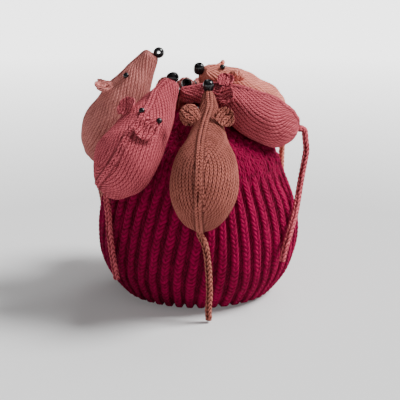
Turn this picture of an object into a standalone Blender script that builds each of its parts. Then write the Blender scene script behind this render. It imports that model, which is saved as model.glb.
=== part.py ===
"""Knitted tea cosy with a heap of six stuffed mice on its crown.

The cosy is two ribbed half shells, front and back, that meet in two side seams and over the
crown. Each seam opens into a slit for the spout and for the handle. Six knitted mice lie on
the shoulders with their snouts together at the top. Each mouse is a stuffed body with two
ears, a nose bead, two eye beads and a tail.

Lengths in the tables are millimetres; MM turns them into metres. X points to the handle side,
Y to the back and Z up. The hem stands on Z = 0.
"""
import math

import bmesh
import bpy
import numpy as np
from mathutils import Matrix, Vector
from mathutils.bvhtree import BVHTree

MM = 0.001
GAP = 0.3
SEARCH_STEPS = 16
OUTLINE_STEPS = 400

# Where the cosy's own upright axis stands, so that the whole part is centred on the origin.
COSY_AXIS = (6.7, 2.3)

# The cosy's outline over the rib crests, from the hem to the crown: radius, height.
OUTLINE = (
    (57.6, 0.0), (66.0, 9.5), (73.2, 21.0), (78.3, 35.0), (80.4, 50.7), (79.6, 65.0),
    (76.2, 80.0), (70.5, 93.0), (66.6, 102.0), (64.2, 109.0), (59.5, 116.0), (51.5, 122.5),
    (41.0, 128.5), (29.5, 135.0), (18.5, 143.5), (9.0, 149.3), (0.0, 151.0),
)
HEM_RADIUS = OUTLINE[0][0]
WALL = 5.0
HEM_WALL = 5.4

# Ribs of one half shell: they run up from the hem and fade out into the plain yoke.
RIBS = 22
STEPS_PER_RIB = 4
RIB_DEPTH = 2.2
RIB_SECTION = (1.0, 0.35, 0.0, 0.35)
RIB_FADE = (92.0, 108.0)
RIB_ROWS = 10
YOKE_ROWS = 8
# The ribs crowd together beside an open slit, over this share of the half shell.
SLIT_CROWDING = 0.12
# Towards the crown they lean to the front: turn in radians, the heights it runs between,
# and the share of the half shell where they stand upright.
RIB_LEAN = 0.77
LEAN_HEIGHTS = (20.0, 85.0, 108.0)
UPRIGHT_SHARE = 0.6

# Slits in the side seams: lowest height, highest height, half width.
SPOUT_SLIT = (26.0, 90.0, 15.0)
HANDLE_SLIT = (27.0, 107.0, 8.0)
SLIT_ROUNDNESS = 0.8

# A mouse's half width along its body, from rump to nose end: place along, share of the widest.
MOUSE_OUTLINE = (
    (0.0, 0.0), (0.02, 0.30), (0.06, 0.56), (0.12, 0.78), (0.20, 0.94), (0.29, 1.0),
    (0.38, 0.97), (0.47, 0.88), (0.56, 0.78), (0.64, 0.67), (0.72, 0.565), (0.80, 0.465),
    (0.87, 0.375), (0.93, 0.31), (0.975, 0.255), (0.993, 0.19), (1.0, 0.0),
)
SNOUT_START = 0.45
MOUSE_SIDES = 16
FLATNESS = 0.82
BODY_GAP = 0.6
COSY_GAP = 0.9
DOME_CENTRE = (0.0, 0.0, 90.0)

# Each mouse: name, widest half width, how full its snout is, colour, then its middle line from
# rump to nose end.
MICE = (
    ("mouse_left_back", 26.8, 1.17, (0.62, 0.31, 0.28), (
        (-76.0, 8.0, 100.0), (-74.5, 8.0, 112.0), (-70.0, 8.0, 128.0), (-60.5, 9.0, 147.0),
        (-50.5, 10.0, 163.5), (-43.0, 11.0, 176.0), (-35.8, 11.0, 188.3))),
    ("mouse_left_front", 26.5, 1.20, (0.58, 0.13, 0.16), (
        (-67.0, -44.0, 96.0), (-62.0, -52.5, 104.5), (-53.5, -55.5, 118.0),
        (-44.0, -42.5, 132.0), (-34.0, -27.5, 146.5), (-26.5, -16.0, 158.0),
        (-20.5, -8.0, 168.0))),
    ("mouse_front", 25.0, 0.72, (0.47, 0.20, 0.14), (
        (2.0, -84.0, 71.5), (3.0, -87.5, 86.0), (4.5, -86.0, 105.0), (6.7, -65.0, 126.0),
        (8.0, -47.0, 140.0), (8.3, -32.0, 151.5), (8.0, -19.5, 162.0))),
    ("mouse_right_front", 25.0, 1.05, (0.58, 0.13, 0.16), (
        (78.5, -12.0, 132.5), (70.0, -12.5, 134.5), (53.0, -11.0, 138.0),
        (35.0, -6.0, 146.0), (19.0, -1.0, 153.0), (2.0, 1.0, 156.2), (-14.0, 2.0, 157.0))),
    ("mouse_right_back", 25.0, 1.40, (0.66, 0.28, 0.23), (
        (65.0, 53.0, 132.0), (58.0, 47.5, 136.5), (47.5, 39.0, 142.5), (34.0, 30.5, 153.0),
        (22.5, 24.0, 161.0), (12.5, 20.0, 167.0), (2.5, 16.5, 170.5))),
    ("mouse_back", 25.0, 1.10, (0.50, 0.27, 0.26), (
        (-21.0, 81.0, 76.0), (-20.5, 84.0, 90.0), (-19.5, 80.5, 108.0), (-16.0, 61.0, 131.0),
        (-13.5, 47.0, 146.5), (-11.0, 35.0, 156.5), (-9.0, 24.0, 162.0))),
)

# Ears: mouse, side, centre, the way that the hollow side looks, half width.
EARS = (
    ("mouse_left_back", "left", (-70.5, 20.0, 160.5), (0.25, 0.30, 0.92), 7.8),
    ("mouse_left_back", "right", (-68.8, -2.0, 160.5), (0.20, -0.30, 0.93), 7.8),
    ("mouse_left_front", "left", (-47.0, -37.0, 143.5), (-0.55, -0.58, 0.60), 8.6),
    ("mouse_left_front", "right", (-39.5, -58.0, 131.8), (0.15, -0.88, 0.45), 10.6),
    ("mouse_front", "left", (-4.3, -53.0, 148.5), (-0.20, 0.93, -0.25), 8.8),
    ("mouse_front", "right", (19.4, -53.0, 148.5), (0.25, -0.94, 0.25), 8.2),
    ("mouse_right_front", "left", (21.8, -18.6, 157.4), (-0.35, -0.86, 0.36), 7.6),
    ("mouse_right_front", "right", (21.0, -5.0, 162.0), (-0.10, -0.65, 0.75), 7.2),
    ("mouse_right_back", "left", (28.0, 12.7, 167.2), (0.05, 0.85, 0.50), 6.4),
    ("mouse_right_back", "right", (15.5, 33.0, 171.0), (-0.50, 0.05, 0.86), 7.4),
    ("mouse_back", "left", (5.5, 53.0, 158.0), (0.35, -0.72, 0.60), 8.6),
    ("mouse_back", "right", (-28.0, 50.0, 157.0), (-0.50, -0.62, 0.60), 8.6),
)
EAR_THICKNESS = 3.4
EAR_CUP = 3.0
EAR_SINK = 1.3
EAR_GAP = 0.6
EAR_SOFTNESS = 1.4
EAR_PRESS_REACH = 8.4
EAR_SIDES = 12
# Rings of an ear from the back to the hollow side: share of the half width, layer.
EAR_RINGS = ((0.55, -1), (0.93, -1), (1.06, 0), (0.93, 1), (0.55, 1))
TOUCHING = 0.01
SLIDE_REACH = 14.0

# Beads: nose beads are short barrels with a bore, eye beads are small flattened balls.
NOSE_RADIUS = 4.3
NOSE_LENGTH = 9.2
NOSE_BORE = 1.5
EYE_RADIUS = 2.3
EYE_FLATNESS = 0.75
BEAD_STEPS = 12
# Nose beads: mouse, where the bead sits off the snout end, the way of its bore.
NOSES = (
    ("mouse_left_back", (0.97, 0.0, 0.22), (0.0, -0.97, 0.25)),
    ("mouse_left_front", (0.30, 0.10, 0.95), (0.75, -0.60, 0.25)),
    ("mouse_front", (0.0, 0.10, 0.99), (0.10, -0.20, 0.97)),
    ("mouse_right_front", (-0.80, 0.30, 0.52), (0.0, 1.0, 0.0)),
    ("mouse_right_back", (-0.45, -0.20, 0.87), (0.10, -0.30, 0.95)),
    ("mouse_back", (0.0, -0.97, 0.22), (0.1, -0.88, 0.45)),
)
# Eyes: mouse, side, place along the body, spread from the back line in degrees.
EYES = (
    ("mouse_left_back", "left", 0.745, 62.0),
    ("mouse_left_back", "right", 0.745, -62.0),
    ("mouse_left_front", "left", 0.572, -27.0),
    ("mouse_left_front", "right", 0.555, -70.0),
    ("mouse_front", "left", 0.86, 95.0),
    ("mouse_front", "right", 0.86, -95.0),
    ("mouse_right_front", "left", 0.80, 32.0),
    ("mouse_right_front", "right", 0.80, -13.0),
    ("mouse_right_back", "left", 0.86, 48.0),
    ("mouse_right_back", "right", 0.90, -42.0),
    ("mouse_back", "left", 0.86, 62.0),
    ("mouse_back", "right", 0.86, -62.0),
)

# Tails: each runs out of the rump and hangs through these points to its bare end.
TAIL_RADIUS = 2.6
TAIL_GAP = 0.5
TAIL_LEAD = 4.0
TAIL_STEP = 6.0
TAILS = (
    ("mouse_left_back", (
        (-80.5, 17.0, 88.0), (-80.0, 24.0, 78.0), (-78.5, 29.0, 66.0), (-77.8, 31.0, 54.0),
        (-77.6, 32.0, 42.0), (-77.6, 32.0, 31.0))),
    ("mouse_left_front", (
        (-69.3, -43.0, 84.0), (-67.9, -47.0, 74.0), (-67.2, -50.0, 64.0),
        (-66.2, -52.5, 54.0), (-65.0, -54.0, 44.0), (-63.4, -54.5, 34.0),
        (-61.6, -54.6, 23.5))),
    ("mouse_front", (
        (5.0, -84.8, 61.0), (6.8, -85.0, 52.0), (7.8, -85.0, 42.0), (8.4, -85.0, 32.0),
        (8.7, -84.8, 22.0), (7.9, -84.6, 11.5), (8.2, -84.4, 1.5))),
    ("mouse_right_front", (
        (83.6, -13.2, 124.5), (84.3, -14.2, 116.0), (82.6, -16.5, 106.0), (80.8, -19.0, 97.0),
        (79.0, -22.5, 88.0), (77.2, -28.0, 79.5), (74.8, -36.0, 71.0), (71.5, -44.5, 63.0),
        (68.5, -50.5, 55.0), (66.0, -53.5, 47.0), (64.0, -54.5, 38.0))),
    ("mouse_right_back", (
        (70.5, 57.5, 121.0), (71.0, 58.0, 110.0), (70.6, 58.2, 98.0), (70.4, 58.2, 85.0),
        (70.4, 58.2, 72.0), (70.4, 58.2, 60.0))),
    ("mouse_back", (
        (-21.5, 83.5, 66.0), (-22.3, 83.8, 55.0), (-22.8, 83.8, 42.0), (-22.8, 83.6, 28.0),
        (-22.4, 83.4, 14.0), (-22.4, 83.4, 2.0))),
)


def smooth_path(points, count):
    """Return count points evenly spaced on a smooth curve through the given points."""
    knots = np.array(points, float)
    padded = np.vstack([2 * knots[0] - knots[1], knots, 2 * knots[-1] - knots[-2]])
    dense = []
    for a, b, c, d in zip(padded[:-3], padded[1:-2], padded[2:-1], padded[3:]):
        for t in np.linspace(0.0, 1.0, 12, endpoint=False):
            dense.append(0.5 * (2 * b + (c - a) * t + (2 * a - 5 * b + 4 * c - d) * t ** 2
                                + (3 * b - a - 3 * c + d) * t ** 3))
    dense = np.array(dense + [knots[-1]])
    length = np.concatenate([[0.0], np.cumsum(np.linalg.norm(np.diff(dense, axis=0), axis=1))])
    wanted = np.linspace(0.0, length[-1], count)
    return np.stack([np.interp(wanted, length, column) for column in dense.T], axis=1)


def unit(vector):
    """Return the vector at length one."""
    return vector / np.linalg.norm(vector)


def material(name, colour, roughness):
    """Return a plain Principled material."""
    finish = bpy.data.materials.new(name)
    finish.use_nodes = True
    shader = finish.node_tree.nodes["Principled BSDF"]
    shader.inputs["Base Color"].default_value = (*colour, 1.0)
    shader.inputs["Roughness"].default_value = roughness
    shader.inputs["Metallic"].default_value = 0.0
    return finish


class Maker:
    """Puts finished pieces into the part's collection, under one empty on the cosy's axis."""

    def __init__(self):
        for leftover in list(bpy.data.objects):
            bpy.data.objects.remove(leftover)
        self.collection = bpy.data.collections.new("tea_cosy")
        bpy.context.scene.collection.children.link(self.collection)
        self.root = bpy.data.objects.new("cosy_axis", None)
        self.root.location = (COSY_AXIS[0] * MM, COSY_AXIS[1] * MM, 0.0)
        self.collection.objects.link(self.root)

    def add(self, name, data, finish):
        """Add one object that holds the mesh or curve, and return it."""
        piece = bpy.data.objects.new(name, data)
        data.materials.append(finish)
        self.collection.objects.link(piece)
        piece.parent = self.root
        return piece


def mesh_from(name, vertices, faces):
    """Return a smooth-shaded mesh with outward faces from vertices in millimetres."""
    mesh = bpy.data.meshes.new(name)
    mesh.from_pydata([tuple(v * MM for v in vertex) for vertex in vertices], [], faces)
    shell = bmesh.new()
    shell.from_mesh(mesh)
    bmesh.ops.recalc_face_normals(shell, faces=shell.faces[:])
    shell.to_mesh(mesh)
    shell.free()
    mesh.shade_smooth()
    return mesh


# The cosy


def outline_rows():
    """Return the rows of a half shell as outer radius, outer height, inner radius, inner height."""
    path = smooth_path(OUTLINE, RIB_ROWS + YOKE_ROWS + 1)
    fine = smooth_path(OUTLINE, OUTLINE_STEPS)
    rows = []
    for radius, height in path:
        near = int(np.argmin(np.hypot(fine[:, 0] - radius, fine[:, 1] - height)))
        along = unit(fine[min(near + 1, OUTLINE_STEPS - 1)] - fine[max(near - 1, 0)])
        rows.append((radius, height, radius - WALL * along[1], height + WALL * along[0]))
    rows[0] = (HEM_RADIUS, 0.0, HEM_RADIUS - HEM_WALL, 0.0)
    rows[-1] = (0.0, path[-1][1], 0.0, path[-1][1] - WALL)
    return rows


def slit_half_width(slit, height):
    """Return how far a slit's edge stands off the seam plane at a height."""
    low, high, widest = slit
    if not low < height < high:
        return 0.0
    return widest * math.sin(math.pi * (height - low) / (high - low)) ** SLIT_ROUNDNESS


def rib_azimuth(share, radius, height):
    """Return the direction of a share of the half shell, from the left seam to the right."""
    left = math.asin(min(slit_half_width(SPOUT_SLIT, height) / max(radius, 1.0), 1.0))
    right = math.asin(min(slit_half_width(HANDLE_SLIT, height) / max(radius, 1.0), 1.0))
    start, full, end = LEAN_HEIGHTS
    climb = (min(height, end) - start) / (full - start)
    lean = RIB_LEAN * math.sin(math.pi * share) * (UPRIGHT_SHARE - share) * climb
    return (math.pi * (share - 0.5) + lean + left * math.exp(-share / SLIT_CROWDING)
            - right * math.exp((share - 1.0) / SLIT_CROWDING))


def rib_relief(height):
    """Return how deep the grooves are at a height."""
    low, high = RIB_FADE
    share = min(max((height - low) / (high - low), 0.0), 1.0)
    return RIB_DEPTH * (1.0 - share * share * (3.0 - 2.0 * share))


def cosy_half(side):
    """Return the vertices and faces of the front (side -1) or back (side 1) half shell."""
    vertices = []
    faces = []

    def point(radius, height, share, level=None):
        azimuth = rib_azimuth(share, radius, height if level is None else level)
        vertices.append((radius * math.sin(azimuth),
                         side * (radius * math.cos(azimuth) + GAP / 2), height))
        return len(vertices) - 1

    rows = outline_rows()
    columns = RIBS * STEPS_PER_RIB
    outer = []
    inner = []
    for level, (radius, height, inner_radius, inner_height) in enumerate(rows[:-1]):
        depth = rib_relief(height)
        ribbed = level <= RIB_ROWS
        step = 1 if ribbed else STEPS_PER_RIB
        outer.append([point(radius - (depth * RIB_SECTION[j % STEPS_PER_RIB] if ribbed else 0.0),
                            height, j / columns) for j in range(0, columns + 1, step)])
        inner.append([point(inner_radius, inner_height, j / RIBS, height)
                      for j in range(RIBS + 1)])
    top_out = point(rows[-1][0], rows[-1][1], 0.5)
    top_in = point(rows[-1][2], rows[-1][3], 0.5)

    for low, high in zip(outer[:-1], outer[1:]):
        if len(low) == len(high):
            faces += [(low[j], low[j + 1], high[j + 1], high[j]) for j in range(len(low) - 1)]
            continue
        for j in range(RIBS):
            fan = low[j * STEPS_PER_RIB:(j + 1) * STEPS_PER_RIB + 1]
            faces += [(fan[k], fan[k + 1], high[j]) for k in range(2)]
            faces.append((fan[2], high[j + 1], high[j]))
            faces += [(fan[k], fan[k + 1], high[j + 1]) for k in range(2, STEPS_PER_RIB)]
    for low, high in zip(inner[:-1], inner[1:]):
        faces += [(low[j], low[j + 1], high[j + 1], high[j]) for j in range(RIBS)]
    for j in range(RIBS):
        rim = outer[0][j * STEPS_PER_RIB:(j + 1) * STEPS_PER_RIB + 1]
        faces.append((*rim, inner[0][j + 1], inner[0][j]))
        faces.append((outer[-1][j], outer[-1][j + 1], top_out))
        faces.append((inner[-1][j], inner[-1][j + 1], top_in))
    for end in (0, -1):
        edges = [(out[end], into[end]) for out, into in zip(outer, inner)] + [(top_out, top_in)]
        faces += [(a[0], b[0], b[1], a[1]) for a, b in zip(edges[:-1], edges[1:])]
    return vertices, faces


def cosy_clearance(points):
    """Return how far points lie outside the outline over the rib crests; inside is negative."""
    fine = smooth_path(OUTLINE, OUTLINE_STEPS // 3)
    flat = np.stack([np.hypot(points[:, 0], points[:, 1]), points[:, 2]], axis=1)
    start = fine[:-1]
    run = np.diff(fine, axis=0)
    away = flat[:, None, :] - start[None]
    share = np.clip((away * run).sum(2) / (run * run).sum(1), 0.0, 1.0)
    offset = away - share[..., None] * run
    distance = np.linalg.norm(offset, axis=2)
    nearest = distance.argmin(axis=1)
    pick = np.arange(len(points))
    outward = offset[pick, nearest] @ np.array([0.0, 1.0]) * -run[nearest, 0]
    outward += offset[pick, nearest] @ np.array([1.0, 0.0]) * run[nearest, 1]
    return np.where(outward >= 0.0, 1.0, -1.0) * distance[pick, nearest]


# The mice


class Mouse:
    """A mouse's middle line with its frames and half widths."""

    SAMPLES = 61

    def __init__(self, name, widest, snout, colour, line):
        self.name = name
        self.colour = colour
        self.line = smooth_path(line, self.SAMPLES)
        self.ahead = np.gradient(self.line, axis=0)
        self.ahead /= np.linalg.norm(self.ahead, axis=1)[:, None]
        up = self.line - np.array(DOME_CENTRE)
        up -= (up * self.ahead).sum(1)[:, None] * self.ahead
        self.up = up / np.linalg.norm(up, axis=1)[:, None]
        self.left = np.cross(self.up, self.ahead)
        table = np.array(MOUSE_OUTLINE)
        fuller = np.clip((table[:, 0] - SNOUT_START) / (1.0 - SNOUT_START), 0.0, 1.0)
        shares = table[:, 1] * (1.0 + (snout - 1.0) * fuller * (2.0 - fuller))
        self.places = np.linspace(0.0, 1.0, self.SAMPLES)
        self.half_widths = widest * np.interp(self.places, table[:, 0], shares)
        self.outline = list(zip(table[:, 0], widest * shares))

    def at(self, place):
        """Return the middle point and the frame ahead, up, left at a place along the body."""
        found = [np.array([np.interp(place, self.places, column) for column in field.T])
                 for field in (self.line, self.ahead, self.up, self.left)]
        return found[0], unit(found[1]), unit(found[2]), unit(found[3])

    def depth(self, points):
        """Return how far points lie outside the free body; inside is negative."""
        away = points[:, None, :] - self.line[None]
        rise = (away * self.up).sum(2)
        square = (away ** 2).sum(2) + rise ** 2 * (1.0 / FLATNESS ** 2 - 1.0)
        return (np.sqrt(square) - self.half_widths).min(axis=1)

    def rings(self):
        """Return the middle points and the full reaches of every ring's vertices."""
        centres = []
        reaches = []
        for place, half_width in self.outline[1:-1]:
            middle, _, up, left = self.at(place)
            for k in range(MOUSE_SIDES):
                turn = 2.0 * math.pi * k / MOUSE_SIDES
                centres.append(middle)
                reaches.append(half_width * (left * math.cos(turn)
                                             + up * FLATNESS * math.sin(turn)))
        return np.array(centres), np.array(reaches)


def settled_body(mouse, others):
    """Return a body mesh that bulges until it meets the cosy or a neighbour."""
    centres, reaches = mouse.rings()
    low = np.zeros(len(centres))
    high = np.ones(len(centres))
    for _ in range(SEARCH_STEPS):
        middle = (low + high) / 2
        trial = centres + middle[:, None] * reaches
        own = mouse.depth(trial)
        free = cosy_clearance(trial) > COSY_GAP
        for other in others:
            free &= other.depth(trial) > own + BODY_GAP
        low = np.where(free, middle, low)
        high = np.where(free, high, middle)
    vertices = list(centres + low[:, None] * reaches)
    rump = len(vertices)
    vertices += [mouse.line[0], mouse.line[-1]]
    faces = []
    rings = len(MOUSE_OUTLINE) - 2
    for ring in range(rings - 1):
        for k in range(MOUSE_SIDES):
            a = ring * MOUSE_SIDES + k
            b = ring * MOUSE_SIDES + (k + 1) % MOUSE_SIDES
            faces.append((a, b, b + MOUSE_SIDES, a + MOUSE_SIDES))
    last = (rings - 1) * MOUSE_SIDES
    for k in range(MOUSE_SIDES):
        after = (k + 1) % MOUSE_SIDES
        faces.append((after, k, rump))
        faces.append((last + k, last + after, rump + 1))
    return mesh_from(mouse.name + "_body", vertices, faces)


def surface_tree(piece):
    """Return a search tree over a mesh's faces, in millimetres."""
    corners = [vertex.co / MM for vertex in piece.vertices]
    return BVHTree.FromPolygons(corners, [tuple(face.vertices) for face in piece.polygons])


def skin_point(tree, mouse, place, spread):
    """Return the skin point and its normal at a place and a spread angle from the back line."""
    middle, ahead, up, left = mouse.at(place)
    way = up * math.cos(math.radians(spread)) + left * math.sin(math.radians(spread))
    hit, normal, _, _ = tree.ray_cast(Vector(middle), Vector(way))
    return np.array(hit), np.array(normal), ahead


def clearances(points, tree):
    """Return how far each point lies outside a skin; inside is negative."""
    found = []
    for point in points:
        near, normal, _, distance = tree.find_nearest(Vector(point))
        outside = (Vector(point) - near).dot(normal) >= 0.0
        found.append(distance if outside else -distance)
    return np.array(found)


def slide_to(points, tree, way, wanted):
    """Return the points slid along a way so that the nearest one has the wanted clearance."""
    near = -SLIDE_REACH
    far = SLIDE_REACH
    for _ in range(SEARCH_STEPS):
        middle = (near + far) / 2
        if clearances(points + way * middle, tree).min() > wanted:
            far = middle
        else:
            near = middle
    return points + way * far


def ear_mesh(name, tree, others, centre, face, size):
    """Return a cupped disc sewn to the head by its edge, its hollow side looking along face."""
    face = unit(np.array(face))
    across = unit(np.cross(face, (0.0, 0.0, 1.0)))
    upright = np.cross(across, face)
    middle = np.array(centre)
    points = [middle - face * (EAR_CUP + EAR_THICKNESS / 2),
              middle - face * (EAR_CUP - EAR_THICKNESS / 2)]
    for reach, layer in EAR_RINGS:
        lift = layer * EAR_THICKNESS / 2 - EAR_CUP * (1.0 - min(reach, 1.0) ** 2)
        for k in range(EAR_SIDES):
            turn = 2.0 * math.pi * k / EAR_SIDES
            points.append(middle + face * lift + size * reach * (across * math.cos(turn)
                                                                 + upright * math.sin(turn)))
    near, normal, _, _ = tree.find_nearest(Vector(middle))
    outward = (Vector(middle) - near).dot(normal) >= 0.0
    way = unit(middle - np.array(near)) * (1.0 if outward else -1.0)
    points = slide_to(np.array(points), tree, way, -EAR_SINK)
    points = pressed(points, [tree] + others)
    faces = []
    for ring in range(len(EAR_RINGS) - 1):
        for k in range(EAR_SIDES):
            a = 2 + ring * EAR_SIDES + k
            b = 2 + ring * EAR_SIDES + (k + 1) % EAR_SIDES
            faces.append((a, b, b + EAR_SIDES, a + EAR_SIDES))
    last = 2 + (len(EAR_RINGS) - 1) * EAR_SIDES
    for k in range(EAR_SIDES):
        after = (k + 1) % EAR_SIDES
        faces.append((2 + after, 2 + k, 0))
        faces.append((last + k, last + after, 1))
    return mesh_from(name, points, faces)


def pressed(points, trees):
    """Press points off the skins so that they keep their order and never pass through them."""
    moved = []
    for point in points:
        for tree in trees:
            near, normal, _, distance = tree.find_nearest(Vector(point))
            away = point - np.array(near)
            outside = float(away @ np.array(normal)) >= 0.0
            signed = distance if outside else -distance
            if signed > EAR_PRESS_REACH:
                continue
            way = np.array(normal)
            if distance > TOUCHING:
                way = unit(away) * (1.0 if outside else -1.0)
            lift = (math.hypot(signed, EAR_SOFTNESS) + signed) / 2
            point = np.array(near) + way * (EAR_GAP + lift)
        moved.append(point)
    return moved


def nose_section():
    """Return the closed outline of half a nose bead: radius, height."""
    half = NOSE_LENGTH / 2
    upper = ((NOSE_BORE, half - 0.9), (NOSE_BORE + 0.8, half), (NOSE_RADIUS - 1.3, half - 0.3),
             (NOSE_RADIUS - 0.2, half / 2))
    return upper + ((NOSE_RADIUS, 0.0),) + tuple((r, -h) for r, h in reversed(upper))


def nose_bead_mesh(name):
    """Return the outline of a barrel bead with a bore, to be turned round its own Z axis."""
    section = nose_section()
    count = len(section)
    mesh = bpy.data.meshes.new(name)
    mesh.from_pydata([(radius * MM, 0.0, height * MM) for radius, height in section],
                     [(k, (k + 1) % count) for k in range(count)], [])
    return mesh


def turned(piece):
    """Turn a profile mesh round its Z axis."""
    screw = piece.modifiers.new("turn", "SCREW")
    screw.steps = BEAD_STEPS
    screw.render_steps = BEAD_STEPS
    screw.use_merge_vertices = True
    screw.merge_threshold = 0.00001
    screw.use_smooth_shade = True


def turn_matrix(axis, hint):
    """Return the turn that puts Z on axis and X towards hint."""
    z_axis = Vector(axis).normalized()
    x_axis = (Vector(hint) - z_axis * Vector(hint).dot(z_axis)).normalized()
    return Matrix((x_axis, z_axis.cross(x_axis), z_axis)).transposed()


def seated_at(tree, start, way, turn, outline):
    """Return the centre that sets a turned outline against a skin, slid along a way."""
    points = []
    for radius, height in outline:
        for k in range(BEAD_STEPS):
            angle = 2.0 * math.pi * k / BEAD_STEPS
            corner = Vector((radius * math.cos(angle), radius * math.sin(angle), height))
            points.append(start + np.array(turn @ corner))
    points.append(start)
    return slide_to(np.array(points), tree, way, GAP)[-1]


def add_nose(maker, mouse, tree, seat, bore, finish):
    """Add the nose bead against the snout end."""
    tip, ahead, _, _ = mouse.at(1.0)
    turn = turn_matrix(bore, ahead)
    centre = seated_at(tree, tip, unit(np.array(seat)), turn, nose_section())
    name = mouse.name + "_nose_bead"
    bead = maker.add(name, nose_bead_mesh(name), finish)
    turned(bead)
    bead.matrix_local = Matrix.Translation(Vector(centre) * MM) @ turn.to_4x4()


def add_eye(maker, mouse, tree, side, place, spread, finish):
    """Add one eye bead, a slightly flattened ball set on the skin."""
    skin, normal, ahead = skin_point(tree, mouse, place, spread)
    turn = turn_matrix(normal, ahead)
    half = [math.pi * k / 6 for k in range(-3, 4)]
    outline = [(EYE_RADIUS * math.cos(rise), EYE_RADIUS * EYE_FLATNESS * math.sin(rise))
               for rise in half]
    centre = seated_at(tree, skin, normal, turn, outline)
    name = f"{mouse.name}_eye_{side}"
    mesh = bpy.data.meshes.new(name)
    ball = bmesh.new()
    bmesh.ops.create_uvsphere(ball, u_segments=8, v_segments=6, radius=EYE_RADIUS * MM)
    bmesh.ops.scale(ball, vec=(1.0, 1.0, EYE_FLATNESS), verts=ball.verts[:])
    ball.to_mesh(mesh)
    ball.free()
    mesh.shade_smooth()
    eye = maker.add(name, mesh, finish)
    eye.matrix_local = Matrix.Translation(Vector(centre) * MM) @ turn.to_4x4()


def tail_route(mouse, route):
    """Return the tail's points: straight out of the rump, then down the route."""
    rump, ahead, _, _ = mouse.at(0.0)
    start = rump - ahead * TAIL_GAP
    knots = [start, start - ahead * TAIL_LEAD] + [np.array(knot) for knot in route]
    length = sum(np.linalg.norm(b - a) for a, b in zip(knots[:-1], knots[1:]))
    return smooth_path(knots, int(length / TAIL_STEP) + 1)


def add_tail(maker, mouse, route, finish):
    """Add a tail as a round tube with filled ends."""
    points = tail_route(mouse, route)
    name = mouse.name + "_tail"
    curve = bpy.data.curves.new(name, "CURVE")
    curve.dimensions = "3D"
    curve.bevel_depth = TAIL_RADIUS * MM
    curve.bevel_resolution = 2
    curve.use_fill_caps = True
    spline = curve.splines.new("POLY")
    spline.points.add(len(points) - 1)
    for target, point in zip(spline.points, points):
        target.co = (*(point * MM), 1.0)
    maker.add(name, curve, finish)


def main():
    """Build every piece of the cosy."""
    maker = Maker()
    crimson = (0.29, 0.004, 0.07)
    for name, side in (("cosy_front", -1), ("cosy_back", 1)):
        vertices, faces = cosy_half(side)
        maker.add(name, mesh_from(name, vertices, faces), material(name + "_wool", crimson, 0.95))
    mice = {row[0]: Mouse(*row) for row in MICE}
    trees = {}
    wools = {}
    for name, mouse in mice.items():
        others = [other for other in mice.values() if other is not mouse]
        body = settled_body(mouse, others)
        trees[name] = surface_tree(body)
        wools[name] = material(name + "_wool", mouse.colour, 0.95)
        maker.add(name + "_body", body, wools[name])
    for name, side, centre, face, size in EARS:
        ear_name = f"{name}_ear_{side}"
        others = [tree for other, tree in trees.items() if other != name]
        ear = ear_mesh(ear_name, trees[name], others, centre, face, size)
        maker.add(ear_name, ear, wools[name])
    glass = material("black_glass", (0.006, 0.006, 0.007), 0.08)
    for name, seat, bore in NOSES:
        add_nose(maker, mice[name], trees[name], seat, bore, glass)
    for name, side, place, spread in EYES:
        add_eye(maker, mice[name], trees[name], side, place, spread, glass)
    for name, route in TAILS:
        add_tail(maker, mice[name], route, wools[name])


main()
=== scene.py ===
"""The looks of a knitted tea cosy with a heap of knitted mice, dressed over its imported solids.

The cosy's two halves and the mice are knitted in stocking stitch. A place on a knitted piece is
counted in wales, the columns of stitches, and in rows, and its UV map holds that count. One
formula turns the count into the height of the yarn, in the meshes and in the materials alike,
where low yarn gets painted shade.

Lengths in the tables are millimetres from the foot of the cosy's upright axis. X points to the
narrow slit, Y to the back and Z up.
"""
import math

import bmesh
import bpy
import numpy as np
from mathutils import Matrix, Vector, noise
from mathutils.bvhtree import BVHTree


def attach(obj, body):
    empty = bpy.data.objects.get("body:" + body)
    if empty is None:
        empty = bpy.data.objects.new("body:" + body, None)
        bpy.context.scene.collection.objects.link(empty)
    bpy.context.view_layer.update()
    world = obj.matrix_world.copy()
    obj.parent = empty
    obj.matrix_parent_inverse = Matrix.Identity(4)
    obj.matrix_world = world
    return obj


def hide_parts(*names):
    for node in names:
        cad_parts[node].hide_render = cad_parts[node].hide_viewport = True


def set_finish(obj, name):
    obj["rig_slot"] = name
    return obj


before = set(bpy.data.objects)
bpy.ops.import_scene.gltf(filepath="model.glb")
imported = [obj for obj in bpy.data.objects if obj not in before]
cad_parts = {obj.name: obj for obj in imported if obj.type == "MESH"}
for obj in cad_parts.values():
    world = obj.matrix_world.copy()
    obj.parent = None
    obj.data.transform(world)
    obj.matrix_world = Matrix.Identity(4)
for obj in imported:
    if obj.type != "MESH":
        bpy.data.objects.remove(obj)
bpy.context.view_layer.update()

MM = 0.001
COSY_AXIS = np.array((6.7, 2.3, 0.0))

# The camera: how far it stands, its height angle, what it looks at and its lens.
CAMERA_DISTANCE = 900.0
CAMERA_RISE = 14.5
CAMERA_AIM = (1.6, 0.0, 72.2)
LENS = 101.25
SENSOR = 36.0

# How bright the studio is far off, the share of that which comes from all round, and how high
# the far brightness reaches, as the sine of its height angle.
# FAR_BRIGHTNESS also sets the strength of the floor's painted glow.
FAR_BRIGHTNESS = 2.2
FILL = 0.02
HORIZON_GLOW = 0.06

# The cosy's outline over the rib crests, from the hem to the crown: radius, height.
OUTLINE = (
    (57.6, 0.0), (66.0, 9.5), (73.2, 21.0), (78.3, 35.0), (80.4, 50.7), (79.6, 65.0),
    (76.2, 80.0), (70.5, 93.0), (66.6, 102.0), (64.2, 109.0), (59.5, 116.0), (51.5, 122.5),
    (41.0, 128.5), (29.5, 135.0), (18.5, 143.5), (9.0, 149.3), (0.0, 151.0),
)
OUTLINE_STEPS = 400
WALL = 5.0
INNER_RADIUS = 0.3
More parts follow.
